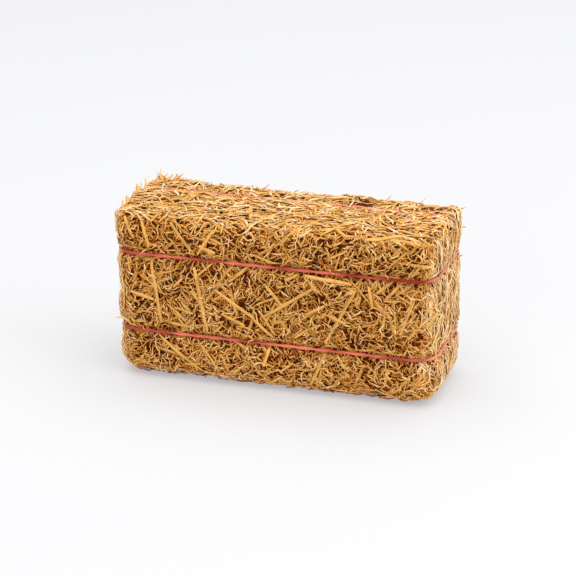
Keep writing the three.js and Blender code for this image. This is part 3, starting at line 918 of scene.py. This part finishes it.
def knot_route(middle, out, tip, handle):
    """One strand: a tail, a winding round the loop, and the other tail. The tip is the right tail's."""
    side_way = X.cross(out)
    winding = []
    for step in range(KNOT_STEPS + 1):
        share = step / KNOT_STEPS
        turn = 2 * math.pi * KNOT_WINDS * share
        ring = (out * math.cos(turn) + side_way * math.sin(turn)) * KNOT_GIRTH
        winding.append(middle + X * KNOT_WIDTH * (share - 0.5) + ring)
    tails = []
    for side, start in ((-1, winding[0]), (1, winding[-1])):
        mirrored = Vector((side * tip.x, tip.y, tip.z))
        lead = Vector((side * tip.x, 0, 0))
        end = middle + mirrored
        tails.append(interpolate_bezier(start, start + lead, end + handle, end, TAIL_STEPS))
    return tails[0][:0:-1] + winding + tails[1][1:]


BACK_DROP = Vector((0, 0.9, -9)) * MM
knots = {
    "upper_twine": (Y, BACK_DROP + X * 5 * MM, Z * 4 * MM),
    "lower_twine": (Y, BACK_DROP + X * 7 * MM, Z * 4 * MM),
    "lengthwise_twine": (Z, Vector((8, -6, -1.2)) * MM, Y * 3 * MM),
}


def twine_mesh(name):
    """The closed loop and the open knot strand as bare edges."""
    loop = routes[name]
    strand = knot_route(knot_place(name), *knots[name])
    edges = [(i, (i + 1) % len(loop)) for i in range(len(loop))]
    edges += [(len(loop) + i, len(loop) + i + 1) for i in range(len(strand) - 1)]
    return mesh_of(name, loop + strand, edges)


twine_pieces = []
for name in routes:
    piece = run_tree(twist_twine, name + "_plies", twine_mesh(name), Step=PLY_STEP, Pitch=TWIST_PITCH,
                     Offset=PLY_OFFSET, Radius=PLY_RADIUS, Finish=red_twine)
    piece.data.shade_smooth()
    twine_pieces.append((piece, name))
    print(piece.name, triangles(piece), "triangles, knot at", [round(v / MM, 1) for v in knot_place(name)])

# %% [markdown]
# ## Putting the pieces on the bale's body
# Every piece rides on the bale's one body, and the CAD node it stands for is hidden.

# %% Ride the body and hide the CAD parts
for guide in (form, round_guide, lengthwise_guide):
    bpy.data.objects.remove(guide)
for piece in (*straw_pieces, packed_straw):
    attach(piece, "root")
    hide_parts("straw_bale")
for piece, node in twine_pieces:
    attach(piece, "root")
    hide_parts(node)
print(len(straw_pieces) + 1, "pieces of straw and", len(twine_pieces), "of twine ride on the bale's one body")

# %% [markdown]
# ## The floor
# The bale stands on white, lit so evenly that only a faint shadow shows. A plain white floor would give a
# much darker shadow under the edge. A grey floor that glows a little keeps it pale.

# %% Floor
FLOOR_SIZE = 6.0
FLOOR_GREY = (0.342, 0.345, 0.354, 1)
FLOOR_GLOW = (0.99, 1.0, 1.02, 1)
GLOW_STRENGTH = 0.38


def pale_floor():
    reach = FLOOR_SIZE / 2
    mesh = mesh_of("floor", [(-reach, -reach, 0), (reach, -reach, 0), (reach, reach, 0), (-reach, reach, 0)],
                   faces=[(0, 1, 2, 3)])
    material, _, shader = new_finish("pale_floor")
    shader.inputs["Base Color"].default_value = FLOOR_GREY
    shader.inputs["Emission Color"].default_value = FLOOR_GLOW
    shader.inputs["Emission Strength"].default_value = GLOW_STRENGTH
    shader.inputs["Roughness"].default_value = 0.7
    mesh.materials.append(material)
    return add_object("floor", mesh)


pale_floor()
print("floor is", FLOOR_SIZE, "m square")

# %% [markdown]
# ## The light
# The photograph is a tabletop shot in a white room: a soft light from the right, a broad one overhead, some
# fill from the front, and white all round. A sun would draw hard shadows, so the lamps are large squares.

# %% Light
# For each lamp: its place and the side of its square in metres, and its power in watts.
LAMPS = {"key": ((1.4, -0.25, 0.65), 1.4, 11), "overhead": ((0.1, 0.05, 1.5), 2.4, 37.5),
         "front_fill": ((-0.2, -1.3, 0.2), 1.2, 11)}
LAMP_AIM = Vector((0, 0, 0.03))
ROOM_COLOUR = (1.0, 0.985, 0.96, 1)
ROOM_STRENGTH = 0.52


def soft_light(name, place, size, power):
    lamp = bpy.data.lights.new(name, "AREA")
    lamp.size = size
    lamp.energy = power
    holder = add_object(name, lamp)
    holder.location = place
    holder.rotation_euler = (LAMP_AIM - Vector(place)).to_track_quat("-Z", "Y").to_euler()


for name, settings in LAMPS.items():
    soft_light(name, *settings)
world = bpy.data.worlds.new("white_room")
world.use_nodes = True
background = world.node_tree.nodes["Background"]
background.inputs["Color"].default_value = ROOM_COLOUR
background.inputs["Strength"].default_value = ROOM_STRENGTH
bpy.context.scene.world = world
bpy.context.scene.view_settings.view_transform = "Standard"
print(len(LAMPS), "lamps and a white world")

# %% [markdown]
# ## The camera
# The photograph looks down a little from some way off. A nearer camera with a shorter lens could frame the
# bale too, but its edges would run together more. So the lens is long.

# %% Camera
AZIMUTH = math.radians(17.0)
ELEVATION = math.radians(20.87)
ROLL = math.radians(-0.08)
DISTANCE = 0.881
LENS = 142.3
AIM = Vector((centre.x - 0.5 * MM, centre.y, 33.3 * MM))
AIM_DROP = 1.8
FRAME_PIXELS = 576
SENSOR = 36


def photo_camera():
    lens = bpy.data.cameras.new("camera")
    lens.lens = LENS
    lens.sensor_width = SENSOR
    lens.shift_y = AIM_DROP / FRAME_PIXELS
    camera = add_object("camera", lens)
    back = Vector((math.sin(AZIMUTH) * math.cos(ELEVATION), -math.cos(AZIMUTH) * math.cos(ELEVATION),
                   math.sin(ELEVATION)))
    turn = back.to_track_quat("Z", "Y").to_matrix().to_4x4()
    camera.matrix_world = Matrix.Translation(AIM + back * DISTANCE) @ turn @ Matrix.Rotation(ROLL, 4, "Z")
    bpy.context.scene.camera = camera


photo_camera()
print("camera stands", DISTANCE, "m from the bale with a lens of", LENS, "mm")
